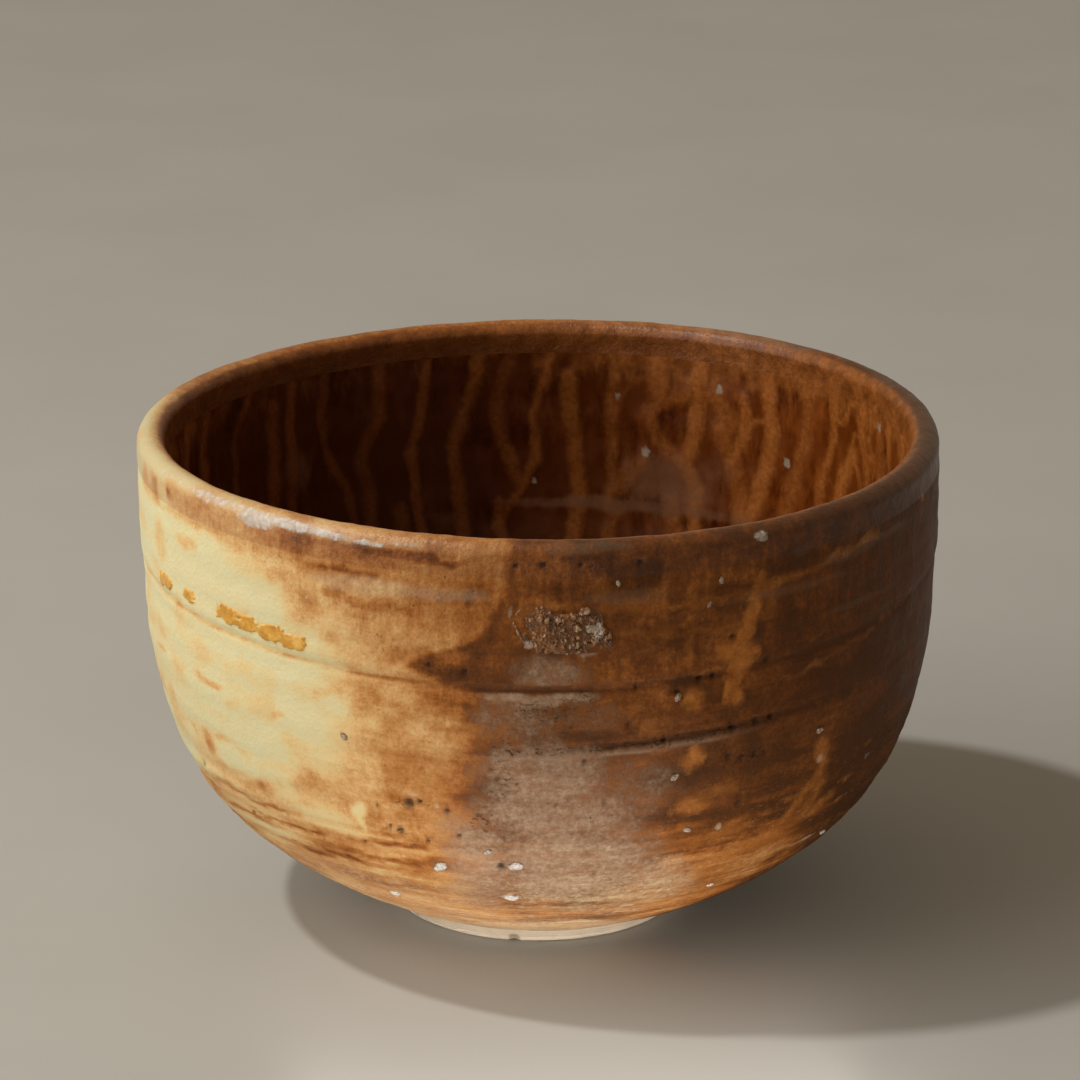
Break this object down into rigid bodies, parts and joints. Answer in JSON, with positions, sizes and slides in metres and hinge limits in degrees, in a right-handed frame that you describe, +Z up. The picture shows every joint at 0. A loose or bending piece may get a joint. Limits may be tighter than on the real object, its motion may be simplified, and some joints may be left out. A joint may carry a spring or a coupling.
{
  "type": "matcha bowl",
  "caption": "Wheel-thrown stoneware tea bowl with a rounded lip, deep open well, softly ringed wall and a small bare foot ring, glazed in ash cream and iron brown.",
  "frame": {"origin": "centre of the foot ring on the plane that the bowl rests on", "axes": "+Z up along the bowl's turning axis; -Y towards the front face with the ash crust; -X towards the cream-glazed side with the amber beads"},
  "size_m": [0.1216, 0.1225, 0.076],
  "materials": {
    "bare_clay": "dry open stoneware clay",
    "foot_clay": "matt pale cream clay, trimmed",
    "outer_glaze": "satin ash glaze, cream on one side and iron brown on the other",
    "inner_glaze": "glossy dark brown with tan runs",
    "lip_glaze": "smooth satin brown-grey band",
    "amber_glass": "glassy amber beads",
    "ash_crust": "rough blistered ash crust",
    "feldspar": "half-melted white feldspar grit"
  },
  "bodies": {
    "root": {"clay_body": "bare_clay", "foot_ring": "foot_clay", "outer_glaze": "outer_glaze", "inner_glaze": "inner_glaze", "lip_glaze": "lip_glaze", "amber_glaze_pools": "amber_glass", "ash_crust": "ash_crust", "burst_stones": "feldspar"}
  },
  "joints": []
}
